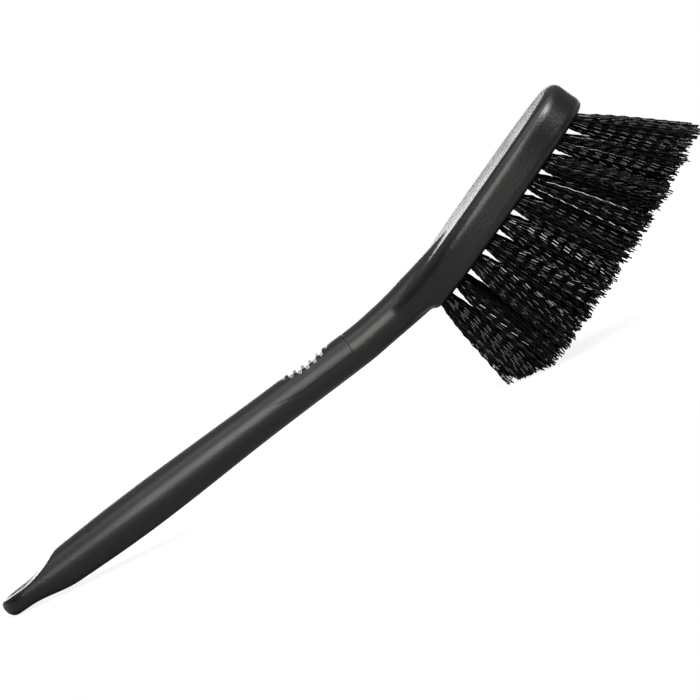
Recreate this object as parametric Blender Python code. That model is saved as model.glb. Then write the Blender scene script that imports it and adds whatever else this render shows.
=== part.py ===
"""A hand brush for washing a bicycle: a moulded handle and head, a soft grip, and tufts of stiff bristles.

Metres, +Z up. The brush rests as it is put down, on the tail of its handle and on the bristles at the heel
of its head, with +X from the tail to the toe and the mirror plane at y = 0. The origin is under the middle
of its bounding box, on the surface that it rests on.

The body is modelled with the handle level, then turned into that rest. Distances along the handle start at
the tail; heights are above or below the handle's own axis. Places on the head are measured along its flat
bristle face from the heel, and heights on the head from that face up to its back.
"""

import math

import bmesh
import bpy
from mathutils import Matrix, Vector

# Handle: one moulding with the head, a flat-topped tail at one end and a tongue that dies out on the head
TAIL_WIDTH = 0.0200
TAIL_TOP = 0.0046
TAIL_DEPTH = 0.0045
TAIL_NECK_AT = 0.0100
TAIL_NECK_DEPTH = 0.0048
TAIL_NOSE_RADIUS = 0.0040
SHOULDER_AT = 0.0300
SHOULDER_WIDTH = 0.0240
SHOULDER_TOP = 0.0073
SHOULDER_DEPTH = 0.0084
BELLY_AT = 0.0690
BELLY_WIDTH = 0.0270
BELLY_TOP = 0.0080
BELLY_DEPTH = 0.0097
WAIST_AT = 0.1290
WAIST_WIDTH = 0.0246
WAIST_TOP = 0.0073
WAIST_DEPTH = 0.0085
NECK_AT = 0.1710
NECK_WIDTH = 0.0236
NECK_TOP = 0.0071
NECK_DEPTH = 0.0083
THROAT_AT = 0.1860
THROAT_TOP = 0.0081
THROAT_DEPTH = 0.0074
HEEL_AT = 0.2074
HEEL_TOP = 0.0115
HEEL_DEPTH = 0.0056
TONGUE_LENGTH = 0.0234
TONGUE_TOP = 0.0160
TONGUE_THICKNESS = 0.0080
TONGUE_TIP_WIDTH = 0.0100
SECTION_FULLNESS = 2.3

# The flat on the tail and the hollow that runs out of it up to the grip
TAIL_FLAT_HEIGHT = 0.0031
TAIL_FLAT_LENGTH = 0.0105
TAIL_HOLLOW_RADIUS = 0.0430

# Head: an oval plate pitched up from the handle, which narrows into the neck on both sides
HEAD_PITCH = math.radians(18)
HEAD_BELOW_AXIS = 0.0068
HEAD_LENGTH = 0.0992
HEAD_WIDTH = 0.0520
HEAD_THICKNESS = 0.0149
HEAD_FULLNESS = 2.8
FACE_EDGE_RADIUS = 0.0030
BACK_EDGE_RADIUS = 0.0040
BACK_RIM_WIDTH = 0.0004
FLARE_LENGTH = 0.0308
FLARE_END = 0.0120
FLARE_UNDER_RISE = math.radians(13.5)
FLARE_UNDER_RADIUS = 0.0060
FLARE_TUCK = 0.0006

# Soft grip: a skin moulded into a recess over the top of the handle, with a ribbed thumb hollow
GRIP_START = 0.0473
GRIP_END = 0.1692
GRIP_THICKNESS = 0.0022
GRIP_PROUD = 0.0002
GRIP_START_BOW = 0.0045
GRIP_BOW_REACH = 0.0160
GRIP_EDGE_HEIGHT = 0.0055
GRIP_SKIRT_HEIGHT = -0.0008
SKIRT_START = 0.1130
SKIRT_FULL = 0.1480
THUMB_AT = 0.1514
THUMB_LENGTH = 0.0230
THUMB_DEPTH = 0.0024
RIB_COUNT = 6
RIB_PITCH = 0.00355
RIB_HEIGHT = 0.0012
RIB_CREST = 0.0012
RIB_FOOT = 0.0023

# Tufts: bundles of crimped bristle folded over a flat anchor and driven into blind holes
COLUMN_COUNT = 10
ROW_PITCH = 0.0094
FIRST_COLUMN_AT = 0.0030
TOE_MARGIN = 0.00902
MOST_ROWS = 5
TUFT_DIAMETER = 0.0060
HOLE_DEPTH = 0.0100
HOLE_RIM = 0.0003
STRANDS_PER_TUFT = 7
STRAND_WALL = 0.00033
STRAND_SEGMENTS = 3
BRISTLE_LENGTH = 0.0485
BRISTLE_LENGTH_SPREAD = 0.0030
BRISTLE_CRIMP = 0.0005
TIP_TAPER_SHARE = 0.80
TUFT_FAN_SHARE = 2.2
LEAN_AT_HEEL = math.radians(-9)
LEAN_AT_TOE = math.radians(26)
LEAN_AT_SIDE = math.radians(11)
ANCHOR_WIDTH = 0.0072
ANCHOR_HEIGHT = 0.0020
ANCHOR_THICKNESS = 0.0005
HEEL_TRIM = 0.0060

CLEARANCE = 0.0003
OVERRUN = 0.0030

# Facets: how finely the round shapes are cut
SECTION_POINTS = 24
NOSE_STEPS = 6
GRIP_STEPS = 9
OVAL_SIDE_STEPS = 13
HEEL_SIDE_STEPS = 8
EDGE_STEPS = 3
HOLLOW_STEPS = 10


def clear_scene():
    for obj in list(bpy.data.objects):
        bpy.data.objects.remove(obj)


def spread(start, end, steps):
    """Evenly spaced values from start to end, both included."""
    return [start + (end - start) * step / steps for step in range(steps + 1)]


def smooth_value(knots, at):
    """Height of a smooth curve through knots, rows of (place, value), with no wave between them."""
    places = [knot[0] for knot in knots]
    values = [knot[1] for knot in knots]
    if at <= places[0]:
        return values[0]
    if at >= places[-1]:
        return values[-1]
    slopes = [(v1 - v0) / (p1 - p0) for p0, p1, v0, v1 in zip(places, places[1:], values, values[1:])]
    tangents = [slopes[0]]
    for before, after in zip(slopes, slopes[1:]):
        rising_together = before * after > 0
        tangents.append(2 * before * after / (before + after) if rising_together else 0.0)
    tangents.append(slopes[-1])
    index = max(i for i in range(len(places) - 1) if places[i] <= at)
    span = places[index + 1] - places[index]
    t = (at - places[index]) / span
    start = values[index] * (1 + 2 * t) * (1 - t) ** 2 + tangents[index] * span * t * (1 - t) ** 2
    end = values[index + 1] * t * t * (3 - 2 * t) + tangents[index + 1] * span * t * t * (t - 1)
    return start + end


def signed_power(value, power):
    return math.copysign(abs(value) ** power, value)


def rounded_end(distance, radius):
    """Share of the full size at a distance inside a rounded end."""
    if distance >= radius:
        return 1.0
    return math.sqrt(1 - (1 - distance / radius) ** 2)


def mesh_object(name, bm):
    mesh = bpy.data.meshes.new(name)
    bm.normal_update()
    bm.to_mesh(mesh)
    bm.free()
    obj = bpy.data.objects.new(name, mesh)
    bpy.context.scene.collection.objects.link(obj)
    return obj


def loft(name, rings, folded=False):
    """A closed solid through a row of rings, all with the same number of points.

    A folded ring runs out along a strip and back along its other side, and its ends close as that strip.
    """
    bm = bmesh.new()
    loops = [[bm.verts.new(point) for point in ring] for ring in rings]
    for near, far in zip(loops, loops[1:]):
        for i, vert in enumerate(near):
            following = (i + 1) % len(near)
            bm.faces.new((vert, near[following], far[following], far[i]))
    for loop in (loops[0], loops[-1]):
        if not folded:
            bm.faces.new(loop)
            continue
        for i in range(len(loop) // 2 - 1):
            bm.faces.new((loop[i], loop[i + 1], loop[-i - 2], loop[-i - 1]))
    bmesh.ops.recalc_face_normals(bm, faces=bm.faces)
    return mesh_object(name, bm)


def as_cutter(obj):
    obj.hide_render = True
    obj.display_type = "WIRE"
    return obj


def boolean(obj, operation, other):
    modifier = obj.modifiers.new(f"{operation.lower()}_{other.name}", "BOOLEAN")
    modifier.operation = operation
    modifier.object = other
    modifier.solver = "EXACT"


def material(name, colour, roughness, metallic=0.0):
    made = bpy.data.materials.new(name)
    made.use_nodes = True
    shader = made.node_tree.nodes["Principled BSDF"]
    shader.inputs["Base Color"].default_value = (*colour, 1.0)
    shader.inputs["Roughness"].default_value = roughness
    shader.inputs["Metallic"].default_value = metallic
    return made


def smooth_shaded(obj, crease=math.radians(35)):
    obj.data.shade_smooth()
    obj.data.set_sharp_from_angle(angle=crease)


# The handle's section: an oval whose top, bottom and width follow smooth curves along its length

TONGUE_AT = HEEL_AT + TONGUE_LENGTH

HANDLE_TOPS = (
    (0.0, TAIL_TOP),
    (SHOULDER_AT, SHOULDER_TOP),
    (BELLY_AT, BELLY_TOP),
    (WAIST_AT, WAIST_TOP),
    (NECK_AT, NECK_TOP),
    (THROAT_AT, THROAT_TOP),
    (HEEL_AT, HEEL_TOP),
    (TONGUE_AT, TONGUE_TOP),
)
HANDLE_BOTTOMS = (
    (0.0, -TAIL_DEPTH),
    (TAIL_NECK_AT, -TAIL_NECK_DEPTH),
    (SHOULDER_AT, -SHOULDER_DEPTH),
    (BELLY_AT, -BELLY_DEPTH),
    (WAIST_AT, -WAIST_DEPTH),
    (NECK_AT, -NECK_DEPTH),
    (THROAT_AT, -THROAT_DEPTH),
    (HEEL_AT, -HEEL_DEPTH),
    (TONGUE_AT, TONGUE_TOP - TONGUE_THICKNESS),
)
HANDLE_WIDTHS = (
    (0.0, TAIL_WIDTH),
    (SHOULDER_AT, SHOULDER_WIDTH),
    (BELLY_AT, BELLY_WIDTH),
    (WAIST_AT, WAIST_WIDTH),
    (NECK_AT, NECK_WIDTH),
    (HEEL_AT, NECK_WIDTH),
    (TONGUE_AT, TONGUE_TIP_WIDTH),
)


def handle_point(at, angle, grow=0.0):
    """Point of the handle's skin at an angle from its +Y side over its top, moved outwards by grow."""
    top = smooth_value(HANDLE_TOPS, at)
    bottom = smooth_value(HANDLE_BOTTOMS, at)
    half_height = (top - bottom) / 2 * rounded_end(at, TAIL_NOSE_RADIUS) + grow
    half_width = smooth_value(HANDLE_WIDTHS, at) / 2 * rounded_end(at, TAIL_WIDTH / 2) + grow
    power = 2 / SECTION_FULLNESS
    y = half_width * signed_power(math.cos(angle), power)
    z = (top + bottom) / 2 + half_height * signed_power(math.sin(angle), power)
    return Vector((at, y, z))


def handle_stations():
    """Distances along the handle at which its section is cut."""
    turns = [math.pi / 2 * (step + 0.5) / NOSE_STEPS for step in range(NOSE_STEPS)]
    nose = [TAIL_WIDTH / 2 * (1 - math.cos(turn)) for turn in turns]
    tail = spread(TAIL_WIDTH / 2, SHOULDER_AT, 5)
    grip = spread(SHOULDER_AT, NECK_AT, 14)[1:]
    neck = spread(NECK_AT, HEEL_AT, 8)[1:]
    tongue = spread(HEEL_AT, TONGUE_AT, 4)[1:]
    return nose + tail + grip + neck + tongue


def handle_rings():
    angles = [2 * math.pi * step / SECTION_POINTS for step in range(SECTION_POINTS)]
    return [[handle_point(at, angle) for angle in angles] for at in handle_stations()]


# The head's own frame: X along its bristle face from the heel, Z from that face to the back

HEAD_FRAME = Matrix.Translation((HEEL_AT, 0, -HEAD_BELOW_AXIS)) @ Matrix.Rotation(-HEAD_PITCH, 4, "Y")
HEAD_HEEL = -FACE_EDGE_RADIUS - HOLE_RIM
HEAD_MIDDLE = HEAD_HEEL + HEAD_LENGTH / 2
FLARE_START = FLARE_END - FLARE_LENGTH
LAST_COLUMN_AT = HEAD_HEEL + HEAD_LENGTH - TOE_MARGIN
COLUMN_PITCH = (LAST_COLUMN_AT - FIRST_COLUMN_AT) / (COLUMN_COUNT - 1)


def oval_point(angle, inset):
    """Point of the head's oval outline at an angle from the toe, moved inwards by inset."""
    power = 2 / HEAD_FULLNESS
    x = HEAD_MIDDLE + (HEAD_LENGTH / 2 - inset) * signed_power(math.cos(angle), power)
    y = (HEAD_WIDTH / 2 - inset) * signed_power(math.sin(angle), power)
    return x, y


def oval_half_width(x, inset):
    """Half the width of the oval at a place along the head."""
    along_share = min(abs(x - HEAD_MIDDLE) / (HEAD_LENGTH / 2 - inset), 1.0)
    return (HEAD_WIDTH / 2 - inset) * (1 - along_share**HEAD_FULLNESS) ** (1 / HEAD_FULLNESS)


def angle_where(x):
    """Angle at which the oval passes a place on its heel half."""
    along_share = (HEAD_MIDDLE - x) / (HEAD_LENGTH / 2)
    return math.pi - math.acos(along_share ** (HEAD_FULLNESS / 2))


def flare_half_width(x, inset):
    """Half the width where the plate narrows into the neck, tangent to the neck and to the oval."""
    neck_half = NECK_WIDTH / 2 - FLARE_TUCK
    full_half = oval_half_width(FLARE_END, inset)
    step = FLARE_LENGTH / 100
    slope = (oval_half_width(FLARE_END + step, inset) - full_half) / step
    t = (x - FLARE_START) / FLARE_LENGTH
    start = neck_half * (1 + 2 * t) * (1 - t) ** 2
    end = full_half * t * t * (3 - 2 * t) + slope * FLARE_LENGTH * t * t * (t - 1)
    return start + end


def head_half_outline(inset, flared):
    """Half of the head's outline, from the toe round the +Y side to the heel."""
    join_angle = angle_where(FLARE_END)
    points = [oval_point(angle, inset) for angle in spread(0.0, join_angle, OVAL_SIDE_STEPS)[:-1]]
    if flared:
        for x in spread(FLARE_END, FLARE_START, HEEL_SIDE_STEPS - 1):
            points.append((x, flare_half_width(x, inset)))
        points.append((FLARE_START, 0.0))
        return points
    points += [oval_point(angle, inset) for angle in spread(join_angle, math.pi, HEEL_SIDE_STEPS)]
    return points


def head_ring(height, inset, flared, under_turn=math.pi / 2):
    """A ring round the head.

    Where the plate narrows into the neck, the ring climbs with the neck's underside. There under_turn
    carries it round the lower edge, from 0 on the underside to a quarter turn on the side wall.
    """
    half = head_half_outline(inset, flared)
    outline = half + [(x, -y) for x, y in reversed(half[1:-1])]
    ring = []
    for x, y in outline:
        z = height
        if flared:
            radius = min(FLARE_UNDER_RADIUS, max(0.0, abs(y) + inset - oval_half_width(x, 0.0)))
            under = FACE_EDGE_RADIUS + FLARE_TUCK + max(0.0, HEAD_HEEL - x) * math.tan(FLARE_UNDER_RISE)
            z = max(height, under + radius * (1 - math.cos(under_turn)))
            y -= math.copysign(min(radius * (1 - math.sin(under_turn)), abs(y)), y)
        ring.append(HEAD_FRAME @ Vector((x, y, z)))
    return ring


def head_rings():
    """Rings from the bristle face, round its edge, up the wall and over the shoulder to the back."""
    rings = []
    for turn in spread(0.0, math.pi / 2, EDGE_STEPS):
        height = FACE_EDGE_RADIUS * (1 - math.cos(turn))
        rings.append(head_ring(height, FACE_EDGE_RADIUS * (1 - math.sin(turn)), False))
    for turn in spread(0.0, math.pi / 2, EDGE_STEPS):
        height = FACE_EDGE_RADIUS + FLARE_TUCK + FLARE_UNDER_RADIUS * (1 - math.cos(turn))
        rings.append(head_ring(height, 0.0, True, turn))
    shoulder = HEAD_THICKNESS - BACK_RIM_WIDTH - BACK_EDGE_RADIUS
    for turn in spread(0.0, math.pi / 2, EDGE_STEPS + 1)[:-1]:
        height = shoulder + BACK_EDGE_RADIUS * math.sin(turn)
        rings.append(head_ring(height, BACK_EDGE_RADIUS * (1 - math.cos(turn)), True))
    rings.append(head_ring(HEAD_THICKNESS, BACK_EDGE_RADIUS * (1 - math.cos(turn)) + BACK_RIM_WIDTH, True))
    return rings


# Tuft places: straight columns across the head, each with as many rows as its flat face takes


def hole_radius():
    """Radius over the corners of a hole that keeps the clearance to the root's flat sides."""
    return TUFT_DIAMETER / 2 + CLEARANCE / math.cos(math.pi / STRANDS_PER_TUFT)


def tuft_places():
    """(column, row, x, y) of each tuft on the bristle face, none past the middle of its rounded edge."""
    places = []
    for column in range(COLUMN_COUNT):
        x = FIRST_COLUMN_AT + column * COLUMN_PITCH
        near_edge = min(
            oval_half_width(x - TUFT_DIAMETER / 4, FACE_EDGE_RADIUS / 2),
            oval_half_width(x + TUFT_DIAMETER / 4, FACE_EDGE_RADIUS / 2),
        )
        room = 2 * (near_edge - hole_radius() - HOLE_RIM)
        rows = max(1, min(MOST_ROWS, math.floor(room / ROW_PITCH) + 1))
        for row in range(rows):
            places.append((column + 1, row + 1, x, (row - (rows - 1) / 2) * ROW_PITCH))
    return places


# The bristle face's frame: like the head's, but with Z out along the bristles

FACE_FRAME = HEAD_FRAME @ Matrix.Rotation(math.pi, 4, "X")


def golden_share(number):
    """A value from 0 to 1 that scatters evenly from one whole number to the next."""
    return number * (math.sqrt(5) - 1) / 2 % 1.0


def tuft_lean(x, y):
    """Direction of a tuft's middle out of the face, with Z as 1."""
    toe_share = (x - FIRST_COLUMN_AT) / (LAST_COLUMN_AT - FIRST_COLUMN_AT)
    lean = LEAN_AT_HEEL + (LEAN_AT_TOE - LEAN_AT_HEEL) * toe_share
    outer_row = (MOST_ROWS - 1) / 2 * ROW_PITCH
    return Vector((math.tan(lean), math.tan(LEAN_AT_SIDE) * y / outer_row, 1.0))


def strand_run(place, strand, foot):
    """The straight run of one strand from its foot to its uncut tip, in the tuft's frame.

    foot is the strand's middle on the face. Strands on either side of the mirror plane have like lengths.
    """
    column, row, x, y = place
    pair = strand if y >= 0 else STRANDS_PER_TUFT - 1 - strand
    number = (column * 2 * MOST_ROWS + round(2 * abs(y) / ROW_PITCH)) * STRANDS_PER_TUFT + pair
    length = BRISTLE_LENGTH - BRISTLE_LENGTH_SPREAD * golden_share(number)
    run = tuft_lean(x, -y).normalized() * length
    fanned = foot * (TUFT_FAN_SHARE - 1)
    return (run + fanned).normalized() * length


def strand_feet():
    """Middles of the strands on the face, round the tuft."""
    turns = [2 * math.pi * corner / STRANDS_PER_TUFT for corner in range(STRANDS_PER_TUFT + 1)]
    corners = [Vector((math.cos(turn), math.sin(turn), 0)) * TUFT_DIAMETER / 2 for turn in turns]
    return [(corner + following) / 3 for corner, following in zip(corners, corners[1:])]


def tuft_frame(place):
    """The tuft's frame in the level handle's frame: on the face, with Z out along the bristles."""
    return FACE_FRAME @ Matrix.Translation((place[2], -place[3], 0))


# The rest: the handle is tipped until its tail and the heel bristles meet the surface


def height_when_tipped(point, tip):
    return point.x * math.sin(tip) + point.z * math.cos(tip)


def rest_tip():
    """Angle at which the tail touches the surface that trims the lowest bristles by HEEL_TRIM."""
    tail_points = [point for ring in handle_rings() for point in ring]
    tips = [
        tuft_frame(place) @ (foot + strand_run(place, strand, foot))
        for place in tuft_places()
        for strand, foot in enumerate(strand_feet())
    ]
    low, high = 0.0, math.pi / 4
    for _ in range(50):
        middle = (low + high) / 2
        lowest_tip = min(height_when_tipped(point, middle) for point in tips)
        lowest_tail = min(height_when_tipped(point, middle) for point in tail_points)
        if lowest_tip + HEEL_TRIM < lowest_tail:
            low = middle
        else:
            high = middle
    return high, min(height_when_tipped(point, high) for point in tail_points)


# Body


def tail_hollow_cutter():
    """A block whose underside is the tail's flat and the hollow that sweeps up out of it."""
    turn = math.acos(1 - (BELLY_TOP - TAIL_FLAT_HEIGHT) / TAIL_HOLLOW_RADIUS)
    outline = [(-OVERRUN, TAIL_FLAT_HEIGHT)]
    for angle in spread(0.0, turn, HOLLOW_STEPS):
        x = TAIL_FLAT_LENGTH + TAIL_HOLLOW_RADIUS * math.sin(angle)
        outline.append((x, TAIL_FLAT_HEIGHT + TAIL_HOLLOW_RADIUS * (1 - math.cos(angle))))
    outline.append((outline[-1][0], BELLY_TOP + OVERRUN))
    outline.append((-OVERRUN, BELLY_TOP + OVERRUN))
    reach = BELLY_WIDTH / 2 + OVERRUN
    rings = [[Vector((x, side, z)) for x, z in outline] for side in (-reach, reach)]
    return as_cutter(loft("tail_hollow", rings))


def hole_cutter():
    """All tuft holes, blind and square to the bristle face."""
    bm = bmesh.new()
    for place in tuft_places():
        frame = tuft_frame(place)
        drop = Matrix.Translation((0, 0, (OVERRUN - HOLE_DEPTH) / 2))
        bmesh.ops.create_cone(
            bm,
            cap_ends=True,
            segments=STRANDS_PER_TUFT,
            radius1=hole_radius(),
            radius2=hole_radius(),
            depth=HOLE_DEPTH + OVERRUN,
            matrix=frame @ drop @ Matrix.Rotation(-math.pi / 2, 4, "Z"),
        )
    return as_cutter(mesh_object("tuft_holes", bm))


def slot_cutter():
    """The slot at the foot of each hole, where the anchor's ends bite into its walls."""
    bm = bmesh.new()
    width = ANCHOR_WIDTH + 2 * CLEARANCE
    thickness = ANCHOR_THICKNESS + 2 * CLEARANCE
    height = ANCHOR_HEIGHT + 2 * CLEARANCE
    size = Matrix.Diagonal((thickness, width, height, 1.0))
    for place in tuft_places():
        drop = Matrix.Translation((0, 0, height / 2 - HOLE_DEPTH - CLEARANCE))
        bmesh.ops.create_cube(bm, size=1.0, matrix=tuft_frame(place) @ drop @ size)
    return as_cutter(mesh_object("anchor_slots", bm))


def make_body():
    body = loft("handle_body", handle_rings())
    plate = as_cutter(loft("head_plate", head_rings()))
    smooth_shaded(plate)
    boolean(body, "UNION", plate)
    boolean(body, "DIFFERENCE", tail_hollow_cutter())
    boolean(body, "DIFFERENCE", grip_recess_cutter())
    boolean(body, "DIFFERENCE", hole_cutter())
    boolean(body, "DIFFERENCE", slot_cutter())
    body.data.materials.append(material("hard_plastic", (0.030, 0.030, 0.029), 0.42))
    smooth_shaded(body)
    return body


# Soft grip


def grip_edge_angle(at):
    """Angle of the grip's lower edge: high on the handle, then wrapping down its sides by the thumb."""
    wrap_share = min(1.0, max(0.0, (at - SKIRT_START) / (SKIRT_FULL - SKIRT_START)))
    smooth_share = wrap_share * wrap_share * (3 - 2 * wrap_share)
    edge = GRIP_EDGE_HEIGHT + (GRIP_SKIRT_HEIGHT - GRIP_EDGE_HEIGHT) * smooth_share
    top = smooth_value(HANDLE_TOPS, at)
    bottom = smooth_value(HANDLE_BOTTOMS, at)
    rise_share = (edge - (top + bottom) / 2) / ((top - bottom) / 2)
    return math.asin(signed_power(rise_share, SECTION_FULLNESS / 2))


def thumb_floor(at):
    """Height of the thumb hollow's floor, a round cut across the handle."""
    half = THUMB_LENGTH / 2
    radius = (half**2 + THUMB_DEPTH**2) / (2 * THUMB_DEPTH)
    away = min(abs(at - THUMB_AT), radius * math.sin(math.pi / 3))
    return smooth_value(HANDLE_TOPS, THUMB_AT) - THUMB_DEPTH + radius - math.sqrt(radius**2 - away**2)


def rib_places():
    return [THUMB_AT + (number - (RIB_COUNT - 1) / 2) * RIB_PITCH for number in range(RIB_COUNT)]


def rib_rise(at):
    """Height of the thumb ribs above the hollow's floor."""
    away = min(abs(at - place) for place in rib_places())
    return RIB_HEIGHT * min(1.0, max(0.0, (RIB_FOOT - 2 * away) / (RIB_FOOT - RIB_CREST)))


def grip_stations():
    """Distances at which the grip is cut, close together at its ribs."""
    start = GRIP_START
    hollow_start = THUMB_AT - THUMB_LENGTH / 2
    hollow_end = THUMB_AT + THUMB_LENGTH / 2
    stations = spread(start, start + GRIP_BOW_REACH, 3) + spread(start + GRIP_BOW_REACH, SKIRT_START, 4)
    stations += spread(SKIRT_START, hollow_start, 6) + [hollow_start, hollow_end, GRIP_END]
    for place in rib_places():
        stations += [place - RIB_FOOT / 2, place - RIB_CREST / 2]
        stations += [place + RIB_CREST / 2, place + RIB_FOOT / 2]
    return sorted({round(at, 6) for at in stations})


def grip_ring(at, clearance, outer_grow):
    """A ring round the grip's section; with a clearance, round the recess that it lies in."""
    edge = grip_edge_angle(at)
    widened = edge - clearance / (smooth_value(HANDLE_WIDTHS, at) / 2 - GRIP_THICKNESS)
    floor = thumb_floor(at)
    depth = GRIP_THICKNESS + clearance
    bow_share = max(0.0, 1 - (at - GRIP_START) / GRIP_BOW_REACH) ** 2
    ring = []
    for angle in spread(widened, math.pi - widened, GRIP_STEPS):
        point = handle_point(at, angle, outer_grow)
        point.z = min(point.z, floor + rib_rise(at) + max(0.0, outer_grow))
        ring.append(point)
    for angle in spread(math.pi - widened, widened, GRIP_STEPS):
        point = handle_point(at, angle, -depth)
        point.z = min(point.z, floor - depth)
        ring.append(point)
    half_width = smooth_value(HANDLE_WIDTHS, at) / 2
    for point in ring:
        point.x -= GRIP_START_BOW * bow_share * (point.y / half_width) ** 2
    return ring


def grip_recess_cutter():
    rings = [grip_ring(at, CLEARANCE, OVERRUN) for at in grip_stations()]
    for point in rings[0]:
        point.x -= CLEARANCE
    for point in rings[-1]:
        point.x += CLEARANCE
    return as_cutter(loft("grip_recess", rings, folded=True))


def make_grip():
    grip = loft("soft_grip", [grip_ring(at, 0.0, GRIP_PROUD) for at in grip_stations()], folded=True)
    grip.data.materials.append(material("soft_rubber", (0.024, 0.024, 0.024), 0.62))
    smooth_shaded(grip)
    return grip


# Tufts


def tuft_root():
    """The mesh that every tuft starts from: the folded bundle in its hole, fused with its anchor."""
    bm = bmesh.new()
    length = HOLE_DEPTH - CLEARANCE
    bmesh.ops.create_cone(
        bm,
        cap_ends=True,
        segments=STRANDS_PER_TUFT,
        radius1=TUFT_DIAMETER / 2,
        radius2=TUFT_DIAMETER / 2,
        depth=length,
        matrix=Matrix.Translation((0, 0, -length / 2)) @ Matrix.Rotation(-math.pi / 2, 4, "Z"),
    )
    root = as_cutter(mesh_object("tuft_root", bm))
    bm = bmesh.new()
    size = Matrix.Diagonal((ANCHOR_THICKNESS, ANCHOR_WIDTH, ANCHOR_HEIGHT, 1.0))
    seat = Matrix.Translation((0, 0, ANCHOR_HEIGHT / 2 - length))
    bmesh.ops.create_cube(bm, size=1.0, matrix=seat @ size)
    boolean(root, "UNION", as_cutter(mesh_object("tuft_anchor", bm)))
    bpy.context.view_layer.update()
    return root.evaluated_get(bpy.context.evaluated_depsgraph_get()).to_mesh()


def make_tufts(parent, tip, surface):
    nylon = material("black_nylon", (0.012, 0.011, 0.012), 0.35)
    root = tuft_root()
    tufts = []
    for place in tuft_places():
        bm = bmesh.new()
        bm.from_mesh(root)
        grow_strands(bm, place, tip, surface)
        tuft = mesh_object(f"tuft_c{place[0]:02d}_r{place[1]}", bm)
        tuft.parent = parent
        tuft.location = (place[2], -place[3], 0)
        tuft.data.materials.clear()
        tuft.data.materials.append(nylon)
        tufts.append(tuft)
    return tufts


def grow_strands(bm, place, tip, surface):
    """Draws the strands out of the end of the root, each from its own inset triangle."""
    bm.faces.ensure_lookup_table()
    end = max(bm.faces, key=lambda face: face.calc_center_median().z)
    triangles = bmesh.ops.poke(bm, faces=[end])["faces"]
    bmesh.ops.inset_individual(bm, faces=triangles, thickness=STRAND_WALL, use_even_offset=True)
    for face in triangles:
        foot = face.calc_center_median()
        grow_strand(bm, face, foot, place, tip, surface)


def strand_number(foot):
    """Number of the strand whose foot lies nearest."""
    feet = strand_feet()
    return min(range(len(feet)), key=lambda number: (feet[number] - foot).length)


def grow_strand(bm, face, foot, place, tip, surface):
    run = strand_run(place, strand_number(foot), foot)
    frame = tuft_frame(place)

    def above_surface(point):
        return height_when_tipped(frame @ point, tip) - surface

    foot_height = above_surface(foot)
    end_height = above_surface(foot + run)
    kept_share = min(1.0, foot_height / (foot_height - end_height)) if end_height < 0 else 1.0
    offsets = [vert.co - foot for vert in face.verts]
    for segment in range(1, STRAND_SEGMENTS + 1):
        along_share = kept_share * segment / STRAND_SEGMENTS
        face = bmesh.ops.extrude_discrete_faces(bm, faces=[face])["faces"][0]
        middle = foot + run * along_share
        if segment < STRAND_SEGMENTS:
            middle.x += BRISTLE_CRIMP * (1 if segment % 2 else -1)
        width_share = 1 - (1 - TIP_TAPER_SHARE) * along_share
        for vert, offset in zip(face.verts, offsets):
            vert.co = middle + offset * width_share
            if segment == STRAND_SEGMENTS and kept_share < 1:
                vert.co -= run * (above_surface(vert.co) / (end_height - foot_height))


def settle(rest, nodes):
    """Moves the brush until the origin lies under the middle of its bounding box, at its lowest point."""
    bpy.context.view_layer.update()
    graph = bpy.context.evaluated_depsgraph_get()
    points = []
    for node in nodes:
        evaluated = node.evaluated_get(graph)
        mesh = evaluated.to_mesh()
        points += [node.matrix_world @ vert.co for vert in mesh.vertices]
        evaluated.to_mesh_clear()
    xs = [point.x for point in points]
    rest.location.x -= (min(xs) + max(xs)) / 2
    rest.location.z -= min(point.z for point in points)


def main():
    clear_scene()
    rest = bpy.data.objects.new("rest", None)
    bristle_face = bpy.data.objects.new("bristle_face", None)
    for empty in (rest, bristle_face):
        bpy.context.scene.collection.objects.link(empty)
    bristle_face.parent = rest
    bristle_face.matrix_local = FACE_FRAME
    tip, surface = rest_tip()
    rest.rotation_euler = (0, -tip, 0)
    body = make_body()
    grip = make_grip()
    tufts = make_tufts(bristle_face, tip, surface)
    for obj in bpy.data.objects:
        if obj.type == "MESH" and obj.parent is None:
            obj.parent = rest
    settle(rest, [body, grip, *tufts])


main()
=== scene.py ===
import math
import random

import bmesh
import bpy
from mathutils import Matrix, Vector


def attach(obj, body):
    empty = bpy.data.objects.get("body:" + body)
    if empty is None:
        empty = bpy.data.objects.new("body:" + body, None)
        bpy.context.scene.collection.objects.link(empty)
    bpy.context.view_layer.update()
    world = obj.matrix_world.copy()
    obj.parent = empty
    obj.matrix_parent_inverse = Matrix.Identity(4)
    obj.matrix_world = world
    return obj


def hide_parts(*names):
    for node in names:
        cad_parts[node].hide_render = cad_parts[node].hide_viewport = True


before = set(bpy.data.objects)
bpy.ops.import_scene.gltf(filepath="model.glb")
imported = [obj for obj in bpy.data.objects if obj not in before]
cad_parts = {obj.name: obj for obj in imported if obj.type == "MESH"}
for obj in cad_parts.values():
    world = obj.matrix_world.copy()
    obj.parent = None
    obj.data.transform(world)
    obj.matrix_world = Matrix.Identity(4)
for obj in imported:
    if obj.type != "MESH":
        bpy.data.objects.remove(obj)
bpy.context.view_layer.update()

# Body: handle, neck and oval head, one injection moulding in charcoal polypropylene. Its mould is
# spark-eroded, so the skin has a fine satin grain. A recess on top holds the grip, and the flat
# underside of the head has a blind hole for each tuft, with a slot where the tuft's anchor bites.

# The brush lies on its tail and its heel bristles. This frame has X along the handle from the tail.
TAIL_X, TAIL_Z, LYING_PITCH = -0.161036, 0.003798, math.radians(11.7125)
LYING = Matrix.Translation((TAIL_X, 0, TAIL_Z)) @ Matrix.Rotation(-LYING_PITCH, 4, "Y")

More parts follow.
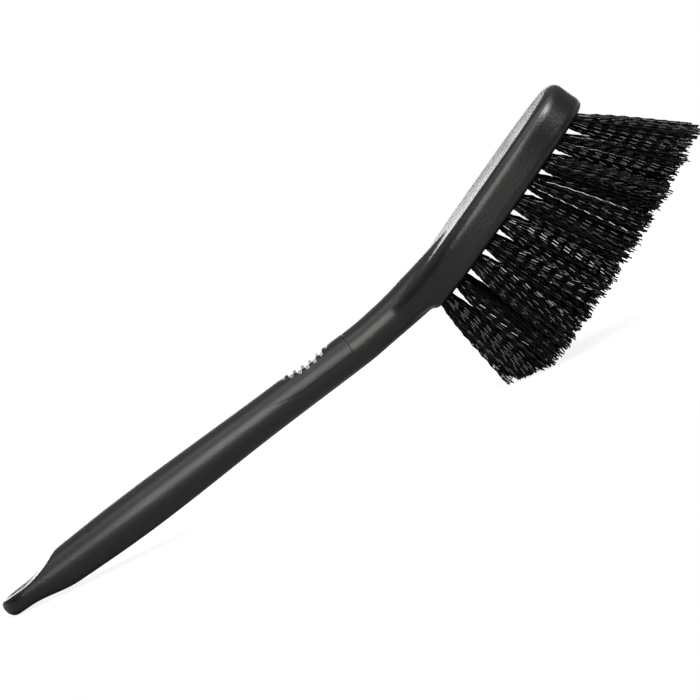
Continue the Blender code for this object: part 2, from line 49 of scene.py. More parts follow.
# Top, underside and width of the handle at places along it, up to the tongue's end inside the head
HEAD_AT, TONGUE_END = 0.2074, 0.2308
SKIN_TOPS = (
    (0.0, 0.0046), (0.0300, 0.0073), (0.0690, 0.0080), (0.1290, 0.0073), (0.1710, 0.0071),
    (0.1860, 0.0081), (HEAD_AT, 0.0115), (TONGUE_END, 0.0160),
)
SKIN_UNDERSIDES = (
    (0.0, -0.0045), (0.0100, -0.0048), (0.0300, -0.0084), (0.0690, -0.0097), (0.1290, -0.0085),
    (0.1710, -0.0083), (0.1860, -0.0074), (HEAD_AT, -0.0056), (TONGUE_END, 0.0080),
)
SKIN_WIDTHS = (
    (0.0, 0.0200), (0.0300, 0.0240), (0.0690, 0.0270), (0.1290, 0.0246), (0.1710, 0.0236),
    (HEAD_AT, 0.0236), (TONGUE_END, 0.0100),
)
NOSE_HEIGHT_REACH, NOSE_WIDTH_REACH = 0.0040, 0.0100
NOSE_STEPS, NOSE_FIRST_STEP, HANDLE_STEPS, HANDLE_SIDES = 16, 0.4, 150, 96
HANDLE_FULLNESS = 2.3


def faired(knots, at):
    """Height of a smooth curve through knots, rows of (place, value), with no wave between them."""
    places, values = zip(*knots)
    if at <= places[0] or at >= places[-1]:
        return values[0] if at <= places[0] else values[-1]
    slopes = [(v1 - v0) / (p1 - p0) for p0, p1, v0, v1 in zip(places, places[1:], values, values[1:])]
    inner = [2 * a * b / (a + b) if a * b > 0 else 0.0 for a, b in zip(slopes, slopes[1:])]
    tangents = [slopes[0], *inner, slopes[-1]]
    i = max(k for k in range(len(slopes)) if places[k] <= at)
    span = places[i + 1] - places[i]
    t = (at - places[i]) / span
    start = values[i] * (1 + 2 * t) * (1 - t) ** 2 + tangents[i] * span * t * (1 - t) ** 2
    return start + values[i + 1] * t * t * (3 - 2 * t) + tangents[i + 1] * span * t * t * (t - 1)


def signed_power(value, power):
    """A power that keeps its value's sign, as a superellipse needs."""
    return math.copysign(abs(value) ** power, value)


def nose(distance, reach):
    """Share of the full size at a distance inside the rounded tail end."""
    return 1.0 if distance >= reach else math.sqrt(max(0.0, 1 - (1 - distance / reach) ** 2))


def skin_point(at, angle, grow=0.0):
    """Point of the handle's skin at an angle from its +Y side over its top, moved outwards by grow."""
    top, underside = faired(SKIN_TOPS, at), faired(SKIN_UNDERSIDES, at)
    half_height = (top - underside) / 2 * nose(at, NOSE_HEIGHT_REACH) + grow
    half_width = faired(SKIN_WIDTHS, at) / 2 * nose(at, NOSE_WIDTH_REACH) + grow
    power = 2 / HANDLE_FULLNESS
    y = half_width * signed_power(math.cos(angle), power)
    return Vector((at, y, (top + underside) / 2 + half_height * signed_power(math.sin(angle), power)))


def steps(start, end, count):
    """Evenly spaced values from start to end, both with them."""
    return [start + (end - start) * k / count for k in range(count + 1)]


def stretches(start, *marks):
    """Places from start on: each further mark is (count, end), steps of even length up to an end."""
    places = [start]
    for count, end in marks:
        places += steps(start, end, count)[1:]
        start = end
    return places


def draw_skin(bm, rings, folded=False):
    """Lays a circle on the first ring of points, draws it out to each next one, and closes both ends.

    A folded ring runs out along a strip and back along its other side, and its ends close as that strip.
    """
    count = len(rings[0])
    first = rim = bmesh.ops.create_circle(bm, segments=count, radius=1)["verts"]
    rim_edges = [bm.edges.get((rim[k - 1], rim[k])) for k in range(count)]
    ends = list(rim_edges)
    for vert, point in zip(rim, rings[0]):
        vert.co = point
    for ring in rings[1:]:
        drawn = bmesh.ops.extrude_edge_only(bm, edges=rim_edges)["geom"]
        fresh = {item for item in drawn if isinstance(item, bmesh.types.BMVert)}
        rim = [next(e.other_vert(v) for e in v.link_edges if e.other_vert(v) in fresh) for v in rim]
        for vert, point in zip(rim, ring):
            vert.co = point
        rim_edges = [bm.edges.get((rim[k - 1], rim[k])) for k in range(count)]
    for end, end_edges in ((first, ends), (rim, rim_edges)):
        if not folded:
            bmesh.ops.edgeloop_fill(bm, edges=end_edges)
            continue
        for k in range(count // 2 - 1):
            bmesh.ops.contextual_create(bm, geom=[end[k], end[k + 1], end[-k - 2], end[-k - 1]])
    bmesh.ops.recalc_face_normals(bm, faces=bm.faces)


def stand(name, bm):
    """Ends a mesh and puts it in the scene as an object at the origin."""
    mesh = bpy.data.meshes.new(name)
    bm.normal_update()
    bm.to_mesh(mesh)
    bm.free()
    obj = bpy.data.objects.new(name, mesh)
    bpy.context.scene.collection.objects.link(obj)
    return obj


def with_modifiers_applied(obj):
    """Turns an object's mesh into what its modifiers make of it."""
    bpy.context.view_layer.update()
    evaluated = obj.evaluated_get(bpy.context.evaluated_depsgraph_get())
    mesh = bpy.data.meshes.new_from_object(evaluated)
    obj.modifiers.clear()
    obj.data = mesh


bm = bmesh.new()
nose_turns = [math.pi / 2 * (k + NOSE_FIRST_STEP) / NOSE_STEPS for k in range(NOSE_STEPS)]
stations = [NOSE_WIDTH_REACH * (1 - math.cos(turn)) for turn in nose_turns]
stations += steps(NOSE_WIDTH_REACH, TONGUE_END, HANDLE_STEPS)
turns = [2 * math.pi * k / HANDLE_SIDES for k in range(HANDLE_SIDES)]
draw_skin(bm, [[skin_point(at, turn) for turn in turns] for at in stations])
body = stand("moulded_body", bm)

# The head plate, in a frame with X along its bristle face from the heel and Z from there to its back
HEAD_FACE_Z, HEAD_PITCH = -0.0068, math.radians(18)
HEAD = Matrix.Translation((HEAD_AT, 0, HEAD_FACE_Z)) @ Matrix.Rotation(-HEAD_PITCH, 4, "Y")
HEAD_LENGTH, HEAD_WIDTH, HEAD_THICKNESS = 0.0992, 0.0520, 0.0149
HEAD_HEEL = -0.0033
HEAD_MIDDLE = HEAD_HEEL + HEAD_LENGTH / 2
HEAD_FULLNESS = 2.8
FACE_ROUND, BACK_ROUND, BACK_RIM = 0.0030, 0.0040, 0.0004
FLARE_START, FLARE_END, FLARE_CLIMB = -0.0188, 0.0120, math.radians(13.5)
FLARE_UNDER_ROUND, FLARE_TUCK = 0.0060, 0.0006
NECK_HALF_WIDTH = 0.0118
OVAL_STEPS, FLARE_STEPS, FACE_ROUND_STEPS, BACK_ROUND_STEPS = 60, 30, 8, 12


def plate_half_width(x, inset):
    """Half the oval's width at x along the head, inside its rim by inset."""
    share = min(abs(x - HEAD_MIDDLE) / (HEAD_LENGTH / 2 - inset), 1.0)
    return (HEAD_WIDTH / 2 - inset) * (1 - share**HEAD_FULLNESS) ** (1 / HEAD_FULLNESS)


def plate_point(angle, inset):
    """X and Y of the oval at an angle from its toe."""
    power = 2 / HEAD_FULLNESS
    x = HEAD_MIDDLE + (HEAD_LENGTH / 2 - inset) * signed_power(math.cos(angle), power)
    return x, (HEAD_WIDTH / 2 - inset) * signed_power(math.sin(angle), power)


def flare_half_width(x, inset):
    """Half the width where the plate narrows into the neck, tangent to the neck and to the oval."""
    reach = FLARE_END - FLARE_START
    full = plate_half_width(FLARE_END, inset)
    slope = (plate_half_width(FLARE_END + reach / 100, inset) - full) / (reach / 100)
    t = (x - FLARE_START) / reach
    start = (NECK_HALF_WIDTH - FLARE_TUCK) * (1 + 2 * t) * (1 - t) ** 2
    return start + full * t * t * (3 - 2 * t) + slope * reach * t * t * (t - 1)


def plate_ring(height, inset, flared, under_turn=math.pi / 2):
    """A ring round the head; where it flares out of the neck it climbs with the neck's underside."""
    join = math.pi - math.acos(((HEAD_MIDDLE - FLARE_END) / (HEAD_LENGTH / 2)) ** (HEAD_FULLNESS / 2))
    half = [plate_point(angle, inset) for angle in steps(0.0, join, OVAL_STEPS)[:-1]]
    if flared:
        half += [(x, flare_half_width(x, inset)) for x in steps(FLARE_END, FLARE_START, FLARE_STEPS - 1)]
        half.append((FLARE_START, 0.0))
    else:
        half += [plate_point(angle, inset) for angle in steps(join, math.pi, FLARE_STEPS)]
    ring = []
    for x, y in half + [(x, -y) for x, y in reversed(half[1:-1])]:
        z = height
        if flared:
            round_here = min(FLARE_UNDER_ROUND, max(0.0, abs(y) + inset - plate_half_width(x, 0.0)))
            under = FACE_ROUND + FLARE_TUCK + max(0.0, HEAD_HEEL - x) * math.tan(FLARE_CLIMB)
            z = max(height, under + round_here * (1 - math.cos(under_turn)))
            y -= math.copysign(min(round_here * (1 - math.sin(under_turn)), abs(y)), y)
        ring.append(HEAD @ Vector((x, y, z)))
    return ring


rings = []
for turn in steps(0.0, math.pi / 2, FACE_ROUND_STEPS):
    inset = FACE_ROUND * (1 - math.sin(turn))
    rings.append(plate_ring(FACE_ROUND * (1 - math.cos(turn)), inset, False))
for turn in steps(0.0, math.pi / 2, FACE_ROUND_STEPS):
    height = FACE_ROUND + FLARE_TUCK + FLARE_UNDER_ROUND * (1 - math.cos(turn))
    rings.append(plate_ring(height, 0.0, True, turn))
for turn in steps(0.0, math.pi / 2, BACK_ROUND_STEPS)[:-1]:
    height = HEAD_THICKNESS - BACK_RIM - BACK_ROUND + BACK_ROUND * math.sin(turn)
    rings.append(plate_ring(height, BACK_ROUND * (1 - math.cos(turn)), True))
rings.append(plate_ring(HEAD_THICKNESS, BACK_ROUND * (1 - math.cos(turn)) + BACK_RIM, True))
bm = bmesh.new()
draw_skin(bm, rings)
plate = stand("head_plate", bm)

# The scraper flat on the tail, a little dished, and the hollow that sweeps up out of it and rolls
# over into the top of the handle
FLAT_HEIGHT, FLAT_LENGTH = 0.0031, 0.0105
SWEEP_RADIUS, ROLL_RADIUS = 0.043, 0.012
SWEEP_TURN, ROLL_TURN = math.radians(22.4), math.radians(3)
RUN_OUT, RUN_OUT_RISE = 0.004, 0.0006
DISH_DEPTH, DISH_HALF_WIDTH = 0.0005, 0.0072
DISH_START, DISH_SINKING, DISH_END, DISH_RISING = 0.0015, 0.0045, 0.024, 0.012
CUT_START, CUT_TOP, CUT_HALF_WIDTH = -0.003, 0.011, 0.017
FLAT_STEPS, SWEEP_STEPS, ROLL_STEPS, CUTS_ACROSS = 14, 36, 12, 33
profile = [(x, FLAT_HEIGHT) for x in steps(CUT_START, FLAT_LENGTH, FLAT_STEPS)]
profile += [
    (FLAT_LENGTH + SWEEP_RADIUS * math.sin(turn), FLAT_HEIGHT + SWEEP_RADIUS * (1 - math.cos(turn)))
    for turn in steps(0.0, SWEEP_TURN, SWEEP_STEPS)[1:]
]
sweep_end = profile[-1]
profile += [
    (
        sweep_end[0] + ROLL_RADIUS * (math.sin(SWEEP_TURN) - math.sin(turn)),
        sweep_end[1] + ROLL_RADIUS * (math.cos(turn) - math.cos(SWEEP_TURN)),
    )
    for turn in steps(SWEEP_TURN, ROLL_TURN, ROLL_STEPS)[1:]
]
profile.append((profile[-1][0] + RUN_OUT, profile[-1][1] + RUN_OUT_RISE))
profile += [(profile[-1][0], CUT_TOP), (CUT_START, CUT_TOP)]
bm = bmesh.new()
outline = [bm.verts.new((x, -CUT_HALF_WIDTH, z)) for x, z in profile]
flat = bmesh.ops.contextual_create(bm, geom=outline)["faces"]
pulled = bmesh.ops.extrude_face_region(bm, geom=flat)["geom"]
pulled = [item for item in pulled if isinstance(item, bmesh.types.BMVert)]
bmesh.ops.translate(bm, verts=pulled, vec=(0, 2 * CUT_HALF_WIDTH, 0))
long_edges = [edge for edge in bm.edges if edge.calc_length() > 1.9 * CUT_HALF_WIDTH]
bmesh.ops.subdivide_edges(bm, edges=long_edges, cuts=CUTS_ACROSS)
for vert in bm.verts:
    from_nose = min(1.0, max(0.0, (vert.co.x - DISH_START) / DISH_SINKING))
    to_sweep = min(1.0, max(0.0, (DISH_END - vert.co.x) / DISH_RISING))
    across = max(0.0, 1 - (vert.co.y / DISH_HALF_WIDTH) ** 2) ** 2
    if vert.co.z < 0.95 * CUT_TOP:
        vert.co.z -= DISH_DEPTH * across * from_nose * to_sweep
bmesh.ops.recalc_face_normals(bm, faces=bm.faces)
hollow = stand("tail_hollow", bm)

# Grip recess, cut on the grip's own section. The same rings draw the grip in the next section. The
# seam round it is a hair wide, and a little wider across the handle at the grip's two ends.
GRIP_START, GRIP_END = 0.0473, 0.1692
GRIP_THICKNESS = 0.0022
WRAP_START, WRAP_LENGTH, EDGE_HEIGHT, EDGE_DROP = 0.1130, 0.0350, 0.0055, 0.0063
BOW_DEPTH, BOW_REACH = 0.0045, 0.016
SEAM, SEAM_AT_START, SEAM_AT_END = 0.00006, 0.00012, 0.00026
RECESS_OVERCUT = 0.003
THUMB_AT, THUMB_REACH, THUMB_DEPTH, THUMB_CLIMB = 0.1514, 0.0115, 0.0024, 0.866
THUMB_START, THUMB_END = 0.1390, 0.1640
RIBS, RIB_PITCH, RIB_HEIGHT = 6, 0.00355, 0.0012
RIB_CREST, RIB_FOOT = 0.00060, 0.00115
RIB_PLACES = [THUMB_AT + (k - (RIBS - 1) / 2) * RIB_PITCH for k in range(RIBS)]
GRIP_RING_STEPS = 40


def grip_edge(at):
    """Angle of the grip's lower edge: high on the handle, then wrapping down its sides by the thumb."""
    share = min(1.0, max(0.0, (at - WRAP_START) / WRAP_LENGTH))
    height = EDGE_HEIGHT - EDGE_DROP * share * share * (3 - 2 * share)
    top, underside = faired(SKIN_TOPS, at), faired(SKIN_UNDERSIDES, at)
    share = (height - (top + underside) / 2) / ((top - underside) / 2)
    return math.asin(signed_power(share, HANDLE_FULLNESS / 2))


def thumb_floor(at):
    """Height of the round hollow that the thumb lies in. Past its reach it climbs clear of the skin."""
    radius = (THUMB_REACH**2 + THUMB_DEPTH**2) / (2 * THUMB_DEPTH)
    away = min(abs(at - THUMB_AT), radius * THUMB_CLIMB)
    return faired(SKIN_TOPS, THUMB_AT) - THUMB_DEPTH + radius - math.sqrt(radius**2 - away**2)


def rib_rise(at):
    """Height of the six thumb ribs above the hollow's floor, rounded at foot and crest."""
    away = min(abs(at - place) for place in RIB_PLACES)
    share = min(1.0, max(0.0, (RIB_FOOT - away) / (RIB_FOOT - RIB_CREST)))
    return RIB_HEIGHT * share * share * (3 - 2 * share)


def grip_ring(at, gap, outer_grow):
    """A ring round the grip's section; with a gap, round the recess that it lies in."""
    half_width = faired(SKIN_WIDTHS, at) / 2
    edge = grip_edge(at) - gap / (half_width - GRIP_THICKNESS)
    floor = thumb_floor(at)
    ring = []
    for angle in steps(edge, math.pi - edge, GRIP_RING_STEPS):
        point = skin_point(at, angle, outer_grow)
        point.z = min(point.z, floor + rib_rise(at) + max(0.0, outer_grow))
        ring.append(point)
    for angle in steps(math.pi - edge, edge, GRIP_RING_STEPS):
        point = skin_point(at, angle, -GRIP_THICKNESS - gap)
        point.z = min(point.z, floor - GRIP_THICKNESS - gap)
        ring.append(point)
    bow = BOW_DEPTH * max(0.0, 1 - (at - GRIP_START) / BOW_REACH) ** 2
    for point in ring:
        point.x -= bow * (point.y / half_width) ** 2
    return ring


stations = stretches(GRIP_START, (60, THUMB_START), (40, THUMB_END), (5, GRIP_END))
rings = [grip_ring(at, SEAM, RECESS_OVERCUT) for at in stations]
for point in rings[0]:
    point.x -= SEAM_AT_START
for point in rings[-1]:
    point.x += SEAM_AT_END
bm = bmesh.new()
draw_skin(bm, rings, folded=True)
recess = stand("grip_recess", bm)

# Tuft holes: ten straight columns across the bristle face, drilled square to it, each with the slot
# that its anchor bites into. FACE is the head's frame turned over, with Z out of the bristle face.
ROWS_IN_COLUMN = (3, 4, 5, 5, 5, 5, 5, 5, 4, 3)
COLUMN_PITCH, ROW_PITCH, FIRST_COLUMN = 0.00932, 0.0094, 0.0030
HOLE_DEPTH, HOLE_RADIUS = 0.0100, 0.00333
ANCHOR_SIZE, ANCHOR_GAP = (0.0005, 0.0072, 0.0020), 0.0003
HOLE_OVERCUT = 0.003
FACE = HEAD @ Matrix.Rotation(math.pi, 4, "X")
TUFT_PLACES = [
    (column, row, FIRST_COLUMN + column * COLUMN_PITCH, (row - (rows - 1) / 2) * ROW_PITCH)
    for column, rows in enumerate(ROWS_IN_COLUMN)
    for row in range(rows)
]
bm = bmesh.new()
for _, _, x, y in TUFT_PLACES:
    bmesh.ops.create_cone(
        bm, cap_ends=True, segments=28, radius1=HOLE_RADIUS, radius2=HOLE_RADIUS,
        depth=HOLE_DEPTH + HOLE_OVERCUT,
        matrix=FACE @ Matrix.Translation((x, -y, (HOLE_OVERCUT - HOLE_DEPTH) / 2)),
    )
holes = stand("tuft_holes", bm)
bm = bmesh.new()
slot_size = [side + 2 * ANCHOR_GAP for side in ANCHOR_SIZE]
for _, _, x, y in TUFT_PLACES:
    seat = FACE @ Matrix.Translation((x, -y, slot_size[2] / 2 - HOLE_DEPTH - ANCHOR_GAP))
    bmesh.ops.create_cube(bm, size=1, matrix=seat @ Matrix.Diagonal((*slot_size, 1)))
slots = stand("anchor_slots", bm)


def join_or_cut(obj, operation, tool):
    """Adds the tool to an object, or takes it away, with an exact Boolean."""
    modifier = obj.modifiers.new(tool.name, "BOOLEAN")
    modifier.operation = operation
    modifier.object = tool
    modifier.solver = "EXACT"


# Body and head are made one surface, and their union is eased as a moulding's corners are. Recess,
# holes and slots are cut after that, so that their edges stay sharp.
join_or_cut(body, "DIFFERENCE", hollow)
join_or_cut(body, "UNION", plate)
blend = body.modifiers.new("blend", "REMESH")
blend.mode = "VOXEL"
blend.voxel_size = 0.00062
ease = body.modifiers.new("ease", "SMOOTH")
ease.factor = 0.5
ease.iterations = 6
with_modifiers_applied(body)

# The thick plate sinks a fifth of a millimetre in the middle of its back as it cools in the mould
SINK, SINK_HALF_LENGTH, SINK_HALF_WIDTH, SINK_UNDER_BACK = 0.00020, 0.0450, 0.0215, 0.0006
for vert in body.data.vertices:
    x, y, z = HEAD.inverted() @ vert.co
    if z > HEAD_THICKNESS - SINK_UNDER_BACK:
        share = ((x - HEAD_MIDDLE) / SINK_HALF_LENGTH) ** 2 + (y / SINK_HALF_WIDTH) ** 2
        vert.co -= HEAD.to_3x3() @ Vector((0, 0, SINK * max(0.0, 1 - share)))
for tool in (recess, holes, slots):
    join_or_cut(body, "DIFFERENCE", tool)
with_modifiers_applied(body)
for tool in (plate, hollow, recess, holes, slots):
    bpy.data.objects.remove(tool)
body.data.transform(LYING)
body.data.shade_smooth()
body.data.set_sharp_from_angle(angle=math.radians(40))


def node(tree, kind, links=(), **values):
    """Adds a shader node: links are (input, socket) pairs, and values with a capital are its inputs."""
    made = tree.nodes.new(kind)
    for name, value in values.items():
        if name[0].isupper():
            made.inputs[name.replace("_", " ")].default_value = value
        else:
            setattr(made, name, value)
    for name, source in links:
        tree.links.new(source, made.inputs[name])
    return made


def ramp(tree, source, *stops):
    """Adds a colour ramp between two stops, each (position, colour), and gives its colour."""
    made = node(tree, "ShaderNodeValToRGB", (("Fac", source),))
    for element, (position, colour) in zip(made.color_ramp.elements, stops):
        element.position = position
        element.color = (*colour, 1)
    return made.outputs["Color"]


def new_finish(name):
    """A new material: with it come its node tree, its shader and the object's own coordinates."""
    finish = bpy.data.materials.new(name)
    finish.use_nodes = True
    tree = finish.node_tree
    return finish, tree, tree.nodes["Principled BSDF"], node(tree, "ShaderNodeTexCoord").outputs["Object"]


# Grain that a spark-eroded mould prints on whatever is moulded in it: fine pits over a faint orange
# peel, with the slow mottling of the melt and the scuffs of a used tool. Plastic and grip each place
# it with their own values.
grain = bpy.data.node_groups.new("mould_grain", "ShaderNodeTree")
for name, kind, direction in (
    ("Place", "NodeSocketVector", "INPUT"),
    ("Grains per metre", "NodeSocketFloat", "INPUT"),
    ("Scuffs per metre", "NodeSocketFloat", "INPUT"),
    ("Height", "NodeSocketFloat", "OUTPUT"),
    ("Mottle", "NodeSocketFloat", "OUTPUT"),
    ("Scuff", "NodeSocketFloat", "OUTPUT"),
):
    grain.interface.new_socket(name, in_out=direction, socket_type=kind)
group_in = node(grain, "NodeGroupInput")
group_out = node(grain, "NodeGroupOutput")
place, grains, scuffs = (group_in.outputs[k] for k in range(3))
PEEL_SHARE, PIT_SHARE = 0.5, 0.08
wider = node(grain, "ShaderNodeMath", ((0, grains),), operation="MULTIPLY")
wider.inputs[1].default_value = PEEL_SHARE
peel = node(grain, "ShaderNodeTexNoise", (("Vector", place), ("Scale", wider.outputs[0])), Detail=3.0)
pits = node(grain, "ShaderNodeTexVoronoi", (("Vector", place), ("Scale", grains)))
pitted = node(
    grain, "ShaderNodeMath",
    ((0, pits.outputs["Distance"]), (2, peel.outputs["Fac"])), operation="MULTIPLY_ADD",
)
pitted.inputs[1].default_value = PIT_SHARE
slow = node(grain, "ShaderNodeTexNoise", (("Vector", place),), Scale=55.0, Detail=5.0, Roughness=0.72)
stretched = node(
    grain, "ShaderNodeMapping", (("Vector", place),), Rotation=(0.2, 0.5, 0.3), Scale=(0.18, 1.0, 1.0)
)
scratches = node(
    grain, "ShaderNodeTexNoise", (("Vector", stretched.outputs["Vector"]), ("Scale", scuffs)), Detail=2.0
)
scuff = node(
    grain, "ShaderNodeMapRange", (("Value", scratches.outputs["Fac"]),), From_Min=0.62, From_Max=0.74
)
grain.links.new(pitted.outputs[0], group_out.inputs["Height"])
grain.links.new(slow.outputs["Fac"], group_out.inputs["Mottle"])
grain.links.new(scuff.outputs["Result"], group_out.inputs["Scuff"])


def moulded_finish(name, dark, light, scuffed, grains, scuffs, relief, matt, satin, specular):
    """A moulded skin: two close tones mottled together, pale scuffs, and the mould's grain in relief."""
    finish, tree, shader, where = new_finish(name)
    skin = node(tree, "ShaderNodeGroup", node_tree=grain, Grains_per_metre=grains, Scuffs_per_metre=scuffs)
    tree.links.new(where, skin.inputs["Place"])
    tones = ramp(tree, skin.outputs["Mottle"], (0.30, dark), (0.70, light))
    worn = node(tree, "ShaderNodeMix", data_type="RGBA", B=(*scuffed, 1))
    tree.links.new(skin.outputs["Scuff"], worn.inputs["Factor"])
    tree.links.new(tones, worn.inputs["A"])
    tree.links.new(worn.outputs["Result"], shader.inputs["Base Color"])
    gloss = node(
        tree, "ShaderNodeMapRange", (("Value", skin.outputs["Mottle"]),),
        From_Min=0.3, From_Max=0.7, To_Min=matt, To_Max=satin,
    )
    tree.links.new(gloss.outputs["Result"], shader.inputs["Roughness"])
    bump = node(
        tree, "ShaderNodeBump", (("Height", skin.outputs["Height"]),), Strength=relief, Distance=0.00026
    )
    tree.links.new(bump.outputs["Normal"], shader.inputs["Normal"])
    shader.inputs["Specular IOR Level"].default_value = specular
    return finish


body.data.materials.clear()
body.data.materials.append(
    moulded_finish(
        "charcoal_plastic", (0.0052, 0.0052, 0.0049), (0.0076, 0.0076, 0.0071), (0.0115, 0.0115, 0.0109),
        grains=1900, scuffs=420, relief=0.26, matt=0.34, satin=0.28, specular=0.5,
    )
)
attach(body, "root")
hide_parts("handle_body")

# Soft grip: a skin of thermoplastic rubber, 2 mm thick, moulded over the body in its recess. It ends
# in a bowed edge towards the tail, wraps down both sides at the thumb, and has six ribs there.
GRIP_EDGE_ROUND, GRIP_EDGE_ANGLE = 0.00006, math.radians(55)
RIBS_START, RIBS_END = 0.1385, 0.1643
stations = stretches(
    GRIP_START, (20, GRIP_START + BOW_REACH), (60, RIBS_START), (172, RIBS_END), (8, GRIP_END)
)
bm = bmesh.new()
draw_skin(bm, [grip_ring(at, 0.0, 0.0) for at in stations], folded=True)
edges = [edge for edge in bm.edges if edge.calc_face_angle(0) > GRIP_EDGE_ANGLE]
bmesh.ops.bevel(
    bm, geom=edges, offset=GRIP_EDGE_ROUND, affect="EDGES", segments=2, profile=0.5, material=-1
)
grip = stand("soft_grip_skin", bm)
grip.data.transform(LYING)
grip.data.shade_smooth()
grip.data.set_sharp_from_angle(angle=math.radians(50))
grip.data.materials.append(
    moulded_finish(
        "grip_rubber", (0.0048, 0.0048, 0.0045), (0.0070, 0.0070, 0.0065), (0.0110, 0.0110, 0.0104),
        grains=1700, scuffs=300, relief=0.30, matt=0.40, satin=0.34, specular=0.50,
    )
)
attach(grip, "root")
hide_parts("soft_grip")

# Bristle tufts: each is about fifty zigzag nylon filaments, 0.6 mm thick. The hank is folded over a
# flat steel anchor and driven into its hole. Each filament lies turned its own way, and the crimps of
# one tuft are nearly in step, so that light glints along it in dashes.
FILAMENTS = 54
FILAMENT_RADIUS = 0.00030
BUNDLE_RADIUS, OUTERMOST, ROOT_SQUEEZE = 0.00285, 0.7, 0.97
LONGEST, SHORTEST = 0.0491, 0.0446
CRIMP_WAVE, CRIMP_DEPTH, CRIMP_REACH = 0.0054, 0.00040, 0.004
FIRST_BEND, TIP_CRIMP = 0.6, 0.3
LEAST_TURN, MOST_TURN, TURN_SCATTER = 1.0, 1.4, 0.2
SHIFT_SCATTER, SHORTEST_WAVE, LONGEST_WAVE = 0.22, 0.96, 1.04
FAN_ALONG, FAN_ACROSS, FAN_REACH = 1.25, 0.65, 0.014
LEAN_AT_HEEL, LEAN_AT_TOE, LEAN_AT_SIDE = math.radians(-9), math.radians(26), math.radians(11)
BOW_ALONG, BOW_ACROSS = 0.0016, 0.0006
STRAY_REACH, HEEL_SET = 0.0022, 0.0014
ROOT_AT, STRAIGHT_TO = -0.0085, -0.0008
FLOOR_GAP, TRIM_SPREAD = 0.0006, 0.0008
GOLDEN_TURN = 2.39996


def filament_points(foot, spread, lean, bow, length, wave, crimp, shift):
    """Centre points of one filament, from the face to its tip: one at each bend of its crimp."""
    share_at_tip = 1 - math.exp(-length / FAN_REACH)
    points = []
    at = wave / 2 * (FIRST_BEND + shift)
    side = 1
    while at < length - wave / 8:
        fan = (1 - math.exp(-at / FAN_REACH)) / share_at_tip
        crimped = min(1.0, at / CRIMP_REACH)
        points.append(foot + spread * fan + lean * at + bow * (at / length) ** 2 + crimp * side * crimped)
        at += wave / 2
        side = -side
    points.append(foot + spread + lean * length + bow + crimp * side * TIP_CRIMP)
    return points


def share_off_floor(frame_here, start, along, bow):
    """Share of a filament's length that stays off the floor, so that it can be trimmed there."""
    if (frame_here @ (start + along + bow)).z >= FLOOR_GAP:
        return 1.0
    low, high = 0.5, 1.0
    for _ in range(12):
        kept = (low + high) / 2
        clear = (frame_here @ (start + along * kept + bow)).z > FLOOR_GAP
        low, high = (kept, high) if clear else (low, kept)
    return low


